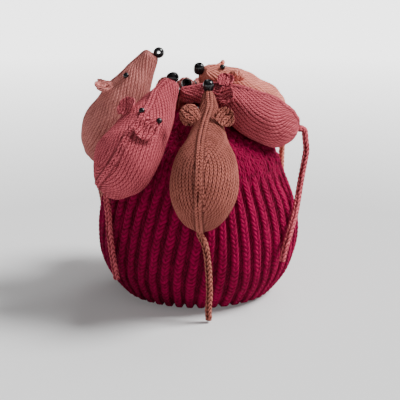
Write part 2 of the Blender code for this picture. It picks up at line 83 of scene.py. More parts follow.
# The two halves are sewn together: each runs this far past the seam plane.
SEAM_LAP = 0.1
RIBS = 22
RIB_DEPTH = 2.2
RIB_FADE = (92.0, 108.0)
GROOVE_WIDTH = 0.15
# The ribs crowd together beside an open slit, over this share of a half.
SLIT_CROWDING = 0.12
# Towards the crown they lean to the front: turn in radians, the heights it runs between,
# and the share of a half where they stand upright.
RIB_LEAN = 0.77
LEAN_HEIGHTS = (20.0, 85.0, 108.0)
UPRIGHT_SHARE = 0.6
# Slits in the side seams, on the left and on the right: lowest height, highest height, half width.
WIDE_SLIT = (26.0, 90.0, 15.0)
NARROW_SLIT = (27.0, 107.0, 8.0)
SLIT_ROUNDNESS = 0.8
# The ribs wander sideways: how far, in ribs, and how fast that turns along a rib and across them.
RIB_WANDER = 0.09
WANDER_ALONG = 0.045
WANDER_ACROSS = 17.0
# Half the share of a rib that the wale on its crest takes on the plain yoke, what the ribbing and
# the gathered crown add to it, and the heights between which the crown is gathered.
CREST_HALF = 0.25
RIBBED_GAIN = 0.13
GATHERED_GAIN = 0.23
GATHERING = (118.0, 127.0)
# The edges of the slits and seams are rounded in, the hem has a thin lip, and the grooves scallop
# it: how deep, and how far it reaches.
EDGE_ROUNDING = (1.6, 3.0)
HEM_LIP = (1.4, 3.5)
HEM_SCALLOP = (1.6, 9.0)
# The ribbed wool swells unevenly: how far, where that starts above the hem, and its waves.
SWELL = 0.45
SWELL_START = 20.0
SWELL_WAVES = ((7.0, 0.05), (3.0, 0.08))

# Stocking stitch: how far a leg climbs across its half wale, and how round the yarn is.
STITCH_SLANT = 1.0
LEG_ROUNDNESS = 0.7
LEG_CLOSENESS = 0.2
ROW_SHARE = 0.72
COSY_ROW = 3.7
COSY_STITCH = 0.95
YOKE_LUMP = 1.1
YOKE_LUMP_WIDTH = 3.6
YOKE_SOFTNESS = 0.5
MOUSE_WALE = 2.9
MOUSE_ROW = 2.5
MOUSE_STITCH = 0.55
ROW_STRETCH = 0.7

# A mouse's back seam is a ridge two wales wide: how high, where it falls off, in wales, the share
# of the body that it wanders over, and where its own wale count starts.
SEAM_RIDGE = 0.9
SEAM_FALL = (0.9, 1.4)
SEAM_RUN = 0.85
SEAM_FIRST_WALE = 60.0
# Painted shade beside the seam: how far from its middle, in wales, and how wide; then the width of
# the painted shade in the split between its two columns.
SEAM_HOLLOW_SHADE = (1.15, 0.6)
SEAM_SPLIT = 0.45
# The stuffing is lumpy: how far, and its waves. Relief fades out where a body is thinner than
# END_FADE wales.
STUFFING_LUMP = 0.5
STUFFING_WAVES = ((0.31, 0.12), (0.17, -0.21))
END_FADE = 3.0

# Ears: they are crumpled and pebbled all over with knots of yarn.
EAR_WALE = 3.2
EAR_ROW = 2.6
EAR_KNOT = 0.9
EAR_KNOT_WIDTH = 3.0
EAR_CRUMPLE = 0.8
EAR_CRUMPLE_SCALE = 0.15
EAR_STRAY = 0.9
EAR_KNOT_MIDDLE = 0.3
# Past EAR_KNOT_EDGE from a knot's middle the ear gets painted shade between the knots.
EAR_KNOT_EDGE = 0.35
EAR_LEVELS = 3
EAR_JOIN_ANGLES = (0.7, 1.2)
# An ear that is drawn in beside its mouse's eye: share of the solid's size, then its shift.
DRAWN_IN = {"mouse_left_front_ear_right": (0.88, (-3.0, -2.2, 1.2))}

# Loose fibres that stand off the wool: how many to a square metre, length, thickness, lean, the
# range of their scale, and the seed of the first knitted piece of the mice.
FIBRES = 180000.0
FIBRE_LENGTH = 1.3
FIBRE_RADIUS = 0.07
FIBRE_LEAN = 1.15
FIBRE_SCALES = (0.4, 1.2)
MICE_SEED = 3

# Meshes: steps across one rib and along one row of the cosy, and a mouse's rings and sides.
RIB_STEPS = 16
ROW_STEPS = 4
INNER_SHARE = 4
MOUSE_RINGS = 172
MOUSE_SIDES = 160

# A mouse's half width along its body, from rump to nose end: place along, share of the widest.
MOUSE_OUTLINE = (
    (0.0, 0.0), (0.02, 0.30), (0.06, 0.56), (0.12, 0.78), (0.20, 0.94), (0.29, 1.0),
    (0.38, 0.97), (0.47, 0.88), (0.56, 0.78), (0.64, 0.67), (0.72, 0.565), (0.80, 0.465),
    (0.87, 0.375), (0.93, 0.31), (0.975, 0.255), (0.993, 0.19), (1.0, 0.0),
)
SNOUT_START = 0.45
FLATNESS = 0.82
SOLID_SIDES = 16
SETTLED_RANGE = (0.2, 1.03)
DOME_CENTRE = (0.0, 0.0, 90.0)

# Each mouse: name, widest half width, how full its snout is, wool, how far its back seam wanders
# to its left, the way of its nose bead's bore, then its middle line from rump to nose end.
MICE = (
    ("mouse_left_back", 26.8, 1.17, "blush_wool", 2.0, (0.0, -0.97, 0.25), (
        (-76.0, 8.0, 100.0), (-74.5, 8.0, 112.0), (-70.0, 8.0, 128.0), (-60.5, 9.0, 147.0),
        (-50.5, 10.0, 163.5), (-43.0, 11.0, 176.0), (-35.8, 11.0, 188.3))),
    ("mouse_left_front", 26.5, 1.20, "rose_wool", -13.0, (0.75, -0.60, 0.25), (
        (-67.0, -44.0, 96.0), (-62.0, -52.5, 104.5), (-53.5, -55.5, 118.0),
        (-44.0, -42.5, 132.0), (-34.0, -27.5, 146.5), (-26.5, -16.0, 158.0),
        (-20.5, -8.0, 168.0))),
    ("mouse_front", 25.0, 0.72, "tan_wool", 6.5, (0.10, -0.20, 0.97), (
        (2.0, -84.0, 71.5), (3.0, -87.5, 86.0), (4.5, -86.0, 105.0), (6.7, -65.0, 126.0),
        (8.0, -47.0, 140.0), (8.3, -32.0, 151.5), (8.0, -19.5, 162.0))),
    ("mouse_right_front", 25.0, 1.05, "rose_wool", 3.0, (0.0, 1.0, 0.0), (
        (78.5, -12.0, 132.5), (70.0, -12.5, 134.5), (53.0, -11.0, 138.0),
        (35.0, -6.0, 146.0), (19.0, -1.0, 153.0), (2.0, 1.0, 156.2), (-14.0, 2.0, 157.0))),
    ("mouse_right_back", 25.0, 1.40, "peach_wool", -3.0, (0.10, -0.30, 0.95), (
        (65.0, 53.0, 132.0), (58.0, 47.5, 136.5), (47.5, 39.0, 142.5), (34.0, 30.5, 153.0),
        (22.5, 24.0, 161.0), (12.5, 20.0, 167.0), (2.5, 16.5, 170.5))),
    ("mouse_back", 25.0, 1.10, "dusty_wool", 2.0, (0.1, -0.88, 0.45), (
        (-21.0, 81.0, 76.0), (-20.5, 84.0, 90.0), (-19.5, 80.5, 108.0), (-16.0, 61.0, 131.0),
        (-13.5, 47.0, 146.5), (-11.0, 35.0, 156.5), (-9.0, 24.0, 162.0))),
)

# Beads: nose beads are short barrels with a bore, eye beads are small flattened balls.
NOSE_RADIUS = 4.3
NOSE_LENGTH = 9.2
NOSE_BORE = 1.2
EYE_RADIUS = 2.3
EYE_FLATNESS = 0.75
NOSE_SINK = 1.3
EYE_SINK = 0.3
NOSE_STEPS = 40
EYE_STEPS = (24, 14)

# Tails: each runs out of the rump and hangs through these points to its bare end.
TAIL_RADIUS = 2.6
TAIL_SINK = 2.0
TAIL_LEAD = 4.0
TAIL_WALES = 3
TAIL_ROW = 3.5
TAIL_STITCH = 1.0
TAIL_FULLNESS = 0.25
TAIL_SIDES = 20
TAIL_ROW_STEPS = 5
# A tail's end closes over this length, to this share of its thickness.
TAIL_CLOSING = 1.4
TAIL_END = 0.55
# The way in which a tail's first wale faces.
TAIL_FACING = (0.0, 1.0, 0.2)
TAILS = {
    "mouse_left_back": (
        (-80.5, 17.0, 88.0), (-80.0, 24.0, 78.0), (-78.5, 29.0, 66.0), (-77.8, 31.0, 54.0),
        (-77.6, 32.0, 42.0), (-77.6, 32.0, 31.0)),
    "mouse_left_front": (
        (-69.3, -43.0, 84.0), (-67.9, -47.0, 74.0), (-67.2, -50.0, 64.0), (-66.2, -52.5, 54.0),
        (-65.0, -54.0, 44.0), (-63.4, -54.5, 34.0), (-61.6, -54.6, 23.5)),
    "mouse_front": (
        (5.0, -84.8, 61.0), (6.8, -85.0, 52.0), (7.8, -85.0, 42.0), (8.4, -85.0, 32.0),
        (8.7, -84.8, 22.0), (7.9, -84.6, 11.5), (8.2, -84.4, 1.5)),
    "mouse_right_front": (
        (83.6, -13.2, 124.5), (84.3, -14.2, 116.0), (82.6, -16.5, 106.0), (80.8, -19.0, 97.0),
        (79.0, -22.5, 88.0), (77.2, -28.0, 79.5), (74.8, -36.0, 71.0), (71.5, -44.5, 63.0),
        (68.5, -50.5, 55.0), (66.0, -53.5, 47.0), (64.0, -54.5, 38.0)),
    "mouse_right_back": (
        (70.5, 57.5, 121.0), (71.0, 58.0, 110.0), (70.6, 58.2, 98.0), (70.4, 58.2, 85.0),
        (70.4, 58.2, 72.0), (70.4, 58.2, 60.0)),
    "mouse_back": (
        (-21.5, 83.5, 66.0), (-22.3, 83.8, 55.0), (-22.8, 83.8, 42.0), (-22.8, 83.6, 28.0),
        (-22.4, 83.4, 14.0), (-22.4, 83.4, 2.0)),
}

# Wools: colour on the yarn's crests, colour of the painted shade in the hollows between the yarns,
# how much the stitches show in the colour as painted shade, and in the bump.
WOOLS = {
    "crimson_wool": ((0.27, 0.0, 0.043), (0.045, 0.0, 0.006), 0.65, 0.75),
    "rose_wool": ((0.64, 0.12, 0.15), (0.12, 0.008, 0.015), 1.35, 1.0),
    "tan_wool": ((0.43, 0.13, 0.10), (0.045, 0.007, 0.005), 1.5, 1.0),
    "blush_wool": ((0.64, 0.225, 0.20), (0.20, 0.044, 0.038), 0.9, 0.9),
    "peach_wool": ((0.84, 0.29, 0.225), (0.34, 0.08, 0.055), 0.8, 0.8),
    "dusty_wool": ((0.64, 0.22, 0.21), (0.22, 0.045, 0.04), 0.8, 0.8),
}
# Hand knitting is uneven: how far stitches stray, and how often that changes in a metre.
STRAY = 0.55
STRAY_SCALE = 110.0
# Yarn: its plies to a row and their slant, and how finely fibre and mottle vary in a metre.
PLIES = 3.0
PLY_SLANT = 2.5
FIBRE_SCALE = 900.0
MOTTLE_SCALE = 45.0
# The wool's tone at a middling stitch height, lower yarn getting painted shade, and how much
# fibre, mottle, the tint of single legs and the painted shade in the hollows change it. From
# LIGHT_STOP up it has its light colour.
MIDDLE_HEIGHT = 0.62
MIDDLE_SHADE = 0.55
FIBRE_SHADE = 0.6
MOTTLE_SHADE = 0.4
TINT_SHADE = 0.3
HOLLOW_SHADE = 0.4
LIGHT_STOP = 0.8
# Relief of the fibre and of the plies, as a share of a stitch's.
FIBRE_RELIEF = 0.3
PLY_RELIEF = 0.05

# Suns: name, azimuth from 0 in front to 90 on the right, height angle, strength, softness.
SUNS = (
    ("key", 96.0, 47.0, 7.0, 26.0),
    ("rim", 150.0, 45.0, 1.0, 40.0),
    ("fill", -10.0, 66.0, 0.4, 60.0),
)
# The floor, in metres: its width and how far off its painted glow, an emission, is full. Its glow:
# share of that distance, brightness.
FLOOR_WIDTH = 24.0
FLOOR_REACH = 2.0
FLOOR_GLOW = ((0.15, 0.06), (0.75, 1.0))
FLOOR_GREY = 0.62


# Nodes


class Field:
    """A node's output that takes Python arithmetic: an expression on fields adds Math nodes."""

    def __init__(self, graph, socket):
        self.graph = graph
        self.socket = socket

    def out(self, name):
        """Return another output of the same node."""
        return Field(self.graph, self.socket.node.outputs[name])

    def math(self, operation, *values):
        """Return the field through a Math node, this field first."""
        inputs = dict(enumerate((self, *values)))
        return self.graph.add("ShaderNodeMath", {"operation": operation}, inputs)

    def __add__(self, other):
        return self.math("ADD", other)

    __radd__ = __add__

    def __mul__(self, other):
        return self.math("MULTIPLY", other)

    __rmul__ = __mul__

    def __sub__(self, other):
        return self.math("SUBTRACT", other)

    def __rsub__(self, other):
        return self * -1.0 + other

    def __truediv__(self, other):
        return self.math("DIVIDE", other)

    def __pow__(self, other):
        return self.math("POWER", other)

    def __abs__(self):
        return self.math("ABSOLUTE")


class Graph:
    """A node tree whose nodes are all made by one method."""

    def __init__(self, tree):
        self.tree = tree

    def add(self, kind, settings=None, inputs=None, output=0):
        """Add a node with its settings, then its sockets' values or links; return an output."""
        node = self.tree.nodes.new(kind)
        for name, value in (settings or {}).items():
            if name == "stops":
                for place, (position, colour) in enumerate(value):
                    stops = node.color_ramp.elements
                    stop = stops[place] if place < 2 else stops.new(position)
                    stop.position = position
                    stop.color = (*colour, 1.0)
            else:
                setattr(node, name, value)
        for name, value in (inputs or {}).items():
            if isinstance(value, Field):
                self.tree.links.new(value.socket, node.inputs[name])
            else:
                node.inputs[name].default_value = value
        return Field(self, node.outputs[output]) if len(node.outputs) else None


def fraction(value):
    """Return what a number or field has past its whole part."""
    return value.math("FRACT") if isinstance(value, Field) else value - np.floor(value)


def sine(value):
    """Return the sine of a number or field."""
    return value.math("SINE") if isinstance(value, Field) else np.sin(value)


def stitch_height(wale, row):
    """Return the height of stocking stitches: 0 between the wales, 1 along each leg.

    The two legs of a stitch lie close together, so the dip between them is shallow."""
    across = abs(fraction(wale) - 0.5) * 2.0
    leg = sine((across * (1.0 - LEG_CLOSENESS) + LEG_CLOSENESS) * math.pi) ** LEG_ROUNDNESS
    lump = sine(fraction(row - across * STITCH_SLANT) * math.pi)
    return leg * (lump * ROW_SHARE + (1.0 - ROW_SHARE))


# Shapes


def smooth_path(points, count):
    """Return count points evenly spaced on a smooth curve through the given points."""
    knots = np.array(points, float)
    padded = np.vstack([2 * knots[0] - knots[1], knots, 2 * knots[-1] - knots[-2]])
    dense = []
    for a, b, c, d in zip(padded[:-3], padded[1:-2], padded[2:-1], padded[3:]):
        for t in np.linspace(0.0, 1.0, 12, endpoint=False):
            dense.append(0.5 * (2 * b + (c - a) * t + (2 * a - 5 * b + 4 * c - d) * t ** 2
                                + (3 * b - a - 3 * c + d) * t ** 3))
    dense = np.array(dense + [knots[-1]])
    length = run_length(dense)
    wanted = np.linspace(0.0, length[-1], count)
    return np.stack([np.interp(wanted, length, column) for column in dense.T], axis=1)


def run_length(points):
    """Return how far along its line each point lies."""
    return np.concatenate([[0.0], np.cumsum(np.linalg.norm(np.diff(points, axis=0), axis=1))])


def unit(vectors):
    """Return vectors at length one."""
    return vectors / np.linalg.norm(vectors, axis=-1, keepdims=True)


def smooth_step(value, low, high):
    """Return a smooth climb from 0 at low to 1 at high."""
    share = np.clip((value - low) / (high - low), 0.0, 1.0)
    return share * share * (3.0 - 2.0 * share)


def waves(first, second, table):
    """Return the product of slow waves over two coordinates, from -1 to 1."""
    product = 1.0
    for along_first, along_second in table:
        product = product * np.sin(first * along_first + second * along_second)
    return product


def quads(rows, columns, wrap_rows=False, wrap_columns=False):
    """Return the faces of a grid of points, closed on itself where it wraps."""
    row = np.arange(rows if wrap_rows else rows - 1)[:, None]
    column = np.arange(columns if wrap_columns else columns - 1)[None, :]
    after = (column + 1) % columns
    above = (row + 1) % rows
    corners = [row * columns + column, row * columns + after,
               above * columns + after, above * columns + column]
    return np.stack(np.broadcast_arrays(*corners), axis=-1).reshape(-1, 4).tolist()


def finished_mesh(name, points, faces, wales=None, rows=None, wale_count=None):
    """Return a smooth mesh with outward faces, and the stitch count of each point as its UV map.

    Where the wales close on themselves, wale_count is how many go round."""
    mesh = bpy.data.meshes.new(name)
    placed = (np.asarray(points).reshape(-1, 3) + COSY_AXIS) * MM
    mesh.from_pydata(placed.tolist(), [], faces)
    shell = bmesh.new()
    shell.from_mesh(mesh)
    bmesh.ops.recalc_face_normals(shell, faces=shell.faces[:])
    shell.to_mesh(mesh)
    shell.free()
    mesh.shade_smooth()
    if wales is not None:
        corner = np.empty(len(mesh.loops), int)
        mesh.loops.foreach_get("vertex_index", corner)
        count = np.stack([np.ravel(wales)[corner], np.ravel(rows)[corner]], axis=1)
        if wale_count:
            start = np.empty(len(mesh.polygons), int)
            mesh.polygons.foreach_get("loop_start", start)
            total = np.empty(len(mesh.polygons), int)
            mesh.polygons.foreach_get("loop_total", total)
            first = np.repeat(count[start, 0], total)
            count[:, 0] -= wale_count * np.round((count[:, 0] - first) / wale_count)
        layer = mesh.uv_layers.new(name="stitches")
        layer.data.foreach_set("uv", count.astype(np.float32).ravel())
    return mesh


def set_attribute(mesh, name, values):
    """Store one number at each point of a mesh."""
    layer = mesh.attributes.new(name, "FLOAT", "POINT")
    layer.data.foreach_set("value", np.ravel(values).astype(np.float32))


def dressed(name, mesh, finish, slot, *nodes):
    """Show a piece in place of CAD nodes, with its material and its material slot."""
    piece = bpy.data.objects.new(name, mesh)
    bpy.context.scene.collection.objects.link(piece)
    mesh.materials.clear()
    mesh.materials.append(finish)
    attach(piece, "root")
    if nodes:
        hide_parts(*nodes)
    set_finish(piece, slot)
    return piece


def node_points(node):
    """Return the distinct points of a CAD node, in millimetres from the cosy's axis."""
    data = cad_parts[node].data
    points = np.empty(len(data.vertices) * 3)
    data.vertices.foreach_get("co", points)
    return np.unique(np.round(points.reshape(-1, 3) / MM - COSY_AXIS, 3), axis=0)


def node_tree(node):
    """Return a search tree over a CAD node's faces, in millimetres from the cosy's axis."""
    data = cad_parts[node].data
    corners = [Vector(np.array(vertex.co) / MM - COSY_AXIS) for vertex in data.vertices]
    return BVHTree.FromPolygons(corners, [tuple(face.vertices) for face in data.polygons])


# Materials


def wool(name):
    """Return a knitted wool: stitches, yarn hollows with painted shade, fibre and a soft sheen."""
    light, painted_shade_colour, contrast, relief = WOOLS[name]
    finish = bpy.data.materials.new(name)
    finish.use_nodes = True
    graph = Graph(finish.node_tree)
    shader = finish.node_tree.nodes["Principled BSDF"]
    stitches = graph.add("ShaderNodeUVMap", {"uv_map": "stitches"})
    place = graph.add("ShaderNodeTexCoord").out("Object")
    stray = graph.add("ShaderNodeTexNoise", {"noise_dimensions": "3D"},
                      {"Vector": place, "Scale": STRAY_SCALE, "Detail": 2.0}).out("Color")
    stray = graph.add("ShaderNodeSeparateColor", inputs={"Color": stray})
    count = graph.add("ShaderNodeSeparateXYZ", inputs={"Vector": stitches})
    wale = count + (stray - 0.5) * STRAY
    row = count.out("Y") + (stray.out("Green") - 0.5) * 2.0 * STRAY
    height = stitch_height(wale, row)
    across = abs(fraction(wale) - 0.5) * 2.0
    ply = sine((row * PLIES - across * PLY_SLANT) * 2.0 * math.pi)
    leg = graph.add("ShaderNodeCombineXYZ", inputs={
        "X": (wale * 2.0).math("FLOOR"), "Y": (row - across * STITCH_SLANT).math("FLOOR")})
    tint = graph.add("ShaderNodeTexWhiteNoise", {"noise_dimensions": "2D"}, {"Vector": leg})
    # Painted shade in the rib grooves, between the yoke's lumps, beside the mice's back seams and
    # between ear knots, as marked on each mesh.
    painted_hollow_shade = graph.add("ShaderNodeAttribute", {"attribute_name": "painted_hollow_shade"}, output=2)
    fibre = graph.add("ShaderNodeTexNoise", {"noise_dimensions": "3D"},
                      {"Vector": place, "Scale": FIBRE_SCALE, "Detail": 3.0, "Roughness": 0.65})
    mottle = graph.add("ShaderNodeTexNoise", {"noise_dimensions": "3D"},
                       {"Vector": place, "Scale": MOTTLE_SCALE, "Detail": 2.0, "Roughness": 0.5})
    # Painted shade: the colour falls towards the shade colour where the yarn lies low between legs
    # and rows and in the marked hollows; fibre, mottle and leg tint are the wool's own tone.
    shade = (height - MIDDLE_HEIGHT) * contrast + (fibre - 0.5) * FIBRE_SHADE
    shade = shade + (mottle - 0.5) * MOTTLE_SHADE + (tint - 0.5) * TINT_SHADE
    shade = shade - painted_hollow_shade * HOLLOW_SHADE + MIDDLE_SHADE
    colour = graph.add("ShaderNodeValToRGB",
                       {"stops": ((0.0, painted_shade_colour), (LIGHT_STOP, light))}, {"Fac": shade})
    bump = graph.add("ShaderNodeBump", inputs={
        "Height": height + fibre * FIBRE_RELIEF + ply * PLY_RELIEF, "Strength": relief,
        "Distance": MM})
    finish.node_tree.links.new(colour.socket, shader.inputs["Base Color"])
    finish.node_tree.links.new(bump.socket, shader.inputs["Normal"])
    roughness = fibre * 0.15 + 0.82
    finish.node_tree.links.new(roughness.socket, shader.inputs["Roughness"])
    shader.inputs["Specular IOR Level"].default_value = 0.1
    shader.inputs["Sheen Weight"].default_value = 0.25
    shader.inputs["Sheen Roughness"].default_value = 0.5
    shader.inputs["Sheen Tint"].default_value = (*light, 1.0)
    return finish


def loose_wool(name):
    """Return the finish of the loose fibres of a wool: its lighter colour, a little uneven."""
    light = WOOLS[name][0]
    finish = bpy.data.materials.new(name + "_fibre")
    finish.use_nodes = True
    graph = Graph(finish.node_tree)
    shader = finish.node_tree.nodes["Principled BSDF"]
    place = graph.add("ShaderNodeTexCoord").out("Object")
    mottle = graph.add("ShaderNodeTexNoise", {"noise_dimensions": "3D"},
                       {"Vector": place, "Scale": 400.0, "Detail": 1.0})
    darker = tuple(channel * 0.6 for channel in light)
    colour = graph.add("ShaderNodeValToRGB", {"stops": ((0.3, darker), (0.7, light))},
                       {"Fac": mottle})
    finish.node_tree.links.new(colour.socket, shader.inputs["Base Color"])
    shader.inputs["Roughness"].default_value = 0.8
    shader.inputs["Specular IOR Level"].default_value = 0.2
    return finish


def black_glass():
    """Return glossy black glass with faint smears."""
    finish = bpy.data.materials.new("black_glass")
    finish.use_nodes = True
    graph = Graph(finish.node_tree)
    shader = finish.node_tree.nodes["Principled BSDF"]
    place = graph.add("ShaderNodeTexCoord").out("Object")
    smear = graph.add("ShaderNodeTexNoise", {"noise_dimensions": "3D"},
                      {"Vector": place, "Scale": 260.0, "Detail": 2.0})
    gloss = smear * 0.15 + 0.12
    finish.node_tree.links.new(gloss.socket, shader.inputs["Roughness"])
    tone = graph.add("ShaderNodeValToRGB", {"stops": ((0.3, (0.003, 0.003, 0.004)),
                                                      (0.8, (0.012, 0.011, 0.012)))},
                     {"Fac": smear})
    finish.node_tree.links.new(tone.socket, shader.inputs["Base Color"])
    shader.inputs["Specular IOR Level"].default_value = 0.3
    return finish


# The cosy


def slit_half_width(slit, height):
    """Return how far a slit's edge stands off the seam plane at each height."""
    low, high, widest = slit
    share = np.clip((height - low) / (high - low), 0.0, 1.0)
    return widest * np.sin(np.pi * share) ** SLIT_ROUNDNESS


def rib_azimuth(share, radius, height):
    """Return the direction of a share of a half, from the left seam to the right."""
    left = np.arcsin(np.minimum(slit_half_width(WIDE_SLIT, height) / radius, 1.0))
    right = np.arcsin(np.minimum(slit_half_width(NARROW_SLIT, height) / radius, 1.0))
    start, full, end = LEAN_HEIGHTS
    climb = (np.minimum(height, end) - start) / (full - start)
    lean = RIB_LEAN * np.sin(np.pi * share) * (UPRIGHT_SHARE - share) * climb
    return (np.pi * (share - 0.5) + lean + left * np.exp(-share / SLIT_CROWDING)
            - right * np.exp((share - 1.0) / SLIT_CROWDING))


def cosy_stitches(rib, height, run):
    """Return wale count, row count, how deep the grooves are and how near each point is to one."""
    ribbed = 1.0 - smooth_step(height, *RIB_FADE)
    gathered = smooth_step(height, *GATHERING)
    half = CREST_HALF + RIBBED_GAIN * ribbed + GATHERED_GAIN * gathered
    whole = np.floor(rib)
    part = rib - whole
    low = 0.5 - half
    high = 0.5 + half
    wale = np.where(part < low, 0.5 + 0.5 * part / low,
                    np.where(part < high, 1.0 + (part - low) / (high - low),
                             2.0 + 0.5 * (part - high) / (1.0 - high)))
    nearest = np.minimum(part, 1.0 - part)
    groove = np.exp(-(nearest / GROOVE_WIDTH) ** 2)
    return wale + 2.0 * whole, run / COSY_ROW, RIB_DEPTH * ribbed, groove


def lumpiness(radius, height, azimuth, side):
    """Return how far each place of the yoke lies under its uneven lumps, from -1 to 1."""
    found = np.zeros(azimuth.shape)
    for place in np.argwhere(np.broadcast_to(height > RIB_FADE[0], azimuth.shape)):
        at = tuple(place)
        spot = Vector((radius[at[0], 0] * math.sin(azimuth[at]),
                       side * radius[at[0], 0] * math.cos(azimuth[at]), height[at[0], 0]))
        found[at] = noise.voronoi(spot / YOKE_LUMP_WIDTH)[0][0] * 2.0 - 1.0
    return found


def cosy_half_mesh(name, side):
    """Return one knitted half shell: front for side -1, back for side 1."""
    length = run_length(smooth_path(OUTLINE, OUTLINE_STEPS))[-1]
    rows = int(length / COSY_ROW * ROW_STEPS)
    columns = RIBS * RIB_STEPS + 1
    path = smooth_path(OUTLINE, rows + 1)[:-1]
    along = unit(np.gradient(path, axis=0))
    run = np.linspace(0.0, length, rows + 1)[:-1, None]
    radius = path[:, :1]
    height = path[:, 1:]
    share = np.linspace(0.0, 1.0, columns)[None, :]
    azimuth = rib_azimuth(share, np.maximum(radius, 1.0), height)

    wander = np.sin(run * WANDER_ALONG + share * WANDER_ACROSS + side) * np.sin(np.pi * share)
    rib = np.clip(share * RIBS + RIB_WANDER * wander, 0.0, RIBS - 1e-6)
    wale, row, depth, groove = cosy_stitches(rib, np.broadcast_to(height, rib.shape),
                                             np.broadcast_to(run, rib.shape))
    edge = np.minimum(azimuth - azimuth[:, :1], azimuth[:, -1:] - azimuth) * radius
    rounded = EDGE_ROUNDING[0] * (1.0 - smooth_step(edge, 0.0, EDGE_ROUNDING[1]))
    lip = HEM_LIP[0] * (1.0 - smooth_step(run, 0.0, HEM_LIP[1])) ** 2
    swell = SWELL * waves(azimuth, run, SWELL_WAVES) * smooth_step(run, 0.0, SWELL_START)
    stitched = COSY_STITCH * (1.0 - stitch_height(wale, row))
    yoke = smooth_step(height, *RIB_FADE)
    lumps = yoke * lumpiness(radius, height, azimuth, side)
    sink = depth * groove + stitched + rounded + lip - swell
    sink = sink + YOKE_LUMP * lumps - YOKE_SOFTNESS * yoke * stitched
    out_radius = radius - sink * along[:, 1:]
    out_height = height + sink * along[:, :1]
    scallop = HEM_SCALLOP[0] * groove * (1.0 - smooth_step(run, 0.0, HEM_SCALLOP[1]))
    out_height = np.maximum(out_height + scallop, 0.0)

    def ring(radii, heights, angles):
        return np.stack(np.broadcast_arrays(
            radii * np.sin(angles), side * (radii * np.cos(angles) - SEAM_LAP), heights), axis=-1)

    outer = ring(out_radius, out_height, azimuth)
    step = INNER_SHARE
    into_radius = np.maximum(radius - WALL * along[:, 1:], INNER_RADIUS)[::step]
    into_height = np.maximum(height + WALL * along[:, :1], 0.0)[::step]
    inner = ring(into_radius, into_height, azimuth[::step, ::step])
    points = np.vstack([outer.reshape(-1, 3), inner.reshape(-1, 3)])
    wales = np.concatenate([wale.ravel(), wale[::step, ::step].ravel()])
    counts = np.concatenate([row.ravel(), row[::step, ::step].ravel()])

    inner_rows, inner_columns = inner.shape[:2]
    first = rows * columns
    faces = quads(rows, columns)
    faces += [[first + corner for corner in face] for face in quads(inner_rows, inner_columns)]
    outer_at = np.arange(first).reshape(rows, columns)
    inner_at = first + np.arange(inner_rows * inner_columns).reshape(inner_rows, inner_columns)
    for rim, rest in ((outer_at[0], inner_at[0]), (outer_at[:, 0], inner_at[:, 0]),
                      (outer_at[:, -1], inner_at[:, -1]), (outer_at[-1], inner_at[-1])):
        for k in range(len(rest) - 1):
            part = rim[k * step:(k + 1) * step + 1]
            faces.append([*part.tolist(), int(rest[k + 1]), int(rest[k])])
        left_over = rim[(len(rest) - 1) * step:]
        if len(left_over) > 1:
            faces.append([*left_over.tolist(), int(rest[-1])])
    mesh = finished_mesh(name, points, faces, wales, counts)
    inside = np.zeros(inner.shape[:2])
    outside = smooth_step(out_height, 1.0, 3.0)
    # Painted shade: deepest in the rib grooves and between the yoke's lumps.
    painted_hollow_shade = groove * depth / RIB_DEPTH + np.clip(lumps, 0.0, 1.0)
    set_attribute(mesh, "painted_hollow_shade", np.concatenate([painted_hollow_shade.ravel(), inside.ravel()]))
    set_attribute(mesh, "furry", np.concatenate([outside.ravel(), inside.ravel()]))
    return mesh


# The mice


class Mouse:
    """A mouse's middle line with its frames and half widths."""

    SAMPLES = 61

    def __init__(self, name, widest, snout, wool_name, seam_wander, bore, line):
        self.name = name
        self.wool = wool_name
        self.seam_wander = seam_wander
        self.bore = np.array(bore)
        self.line = smooth_path(line, self.SAMPLES)
        self.length = run_length(self.line)[-1]
        self.ahead = unit(np.gradient(self.line, axis=0))
        up = self.line - np.array(DOME_CENTRE)
        up -= (up * self.ahead).sum(1)[:, None] * self.ahead
        self.up = unit(up)
        self.left = np.cross(self.up, self.ahead)
        table = np.array(MOUSE_OUTLINE)
        fuller = np.clip((table[:, 0] - SNOUT_START) / (1.0 - SNOUT_START), 0.0, 1.0)
        shares = table[:, 1] * (1.0 + (snout - 1.0) * fuller * (2.0 - fuller))
        self.outline = np.stack([table[:, 0], widest * shares], axis=1)
        self.places = np.linspace(0.0, 1.0, self.SAMPLES)

    def at(self, places):
        """Return the middle points and the frames ahead, up, left at places along the body."""
        found = [np.stack([np.interp(places, self.places, column) for column in field.T], axis=-1)
                 for field in (self.line, self.ahead, self.up, self.left)]
        return found[0], unit(found[1]), unit(found[2]), unit(found[3])


def blurred(values, axis, width, wrap=False):
    """Return a table smoothed along an axis with a round bell of the given half width."""
    kernel = np.hanning(2 * width + 3)[1:-1]
    kernel /= kernel.sum()
    pad = [(width, width) if k == axis else (0, 0) for k in range(values.ndim)]
    padded = np.pad(values, pad, mode="wrap" if wrap else "edge")
    return np.apply_along_axis(lambda line: np.convolve(line, kernel, "valid"), axis, padded)


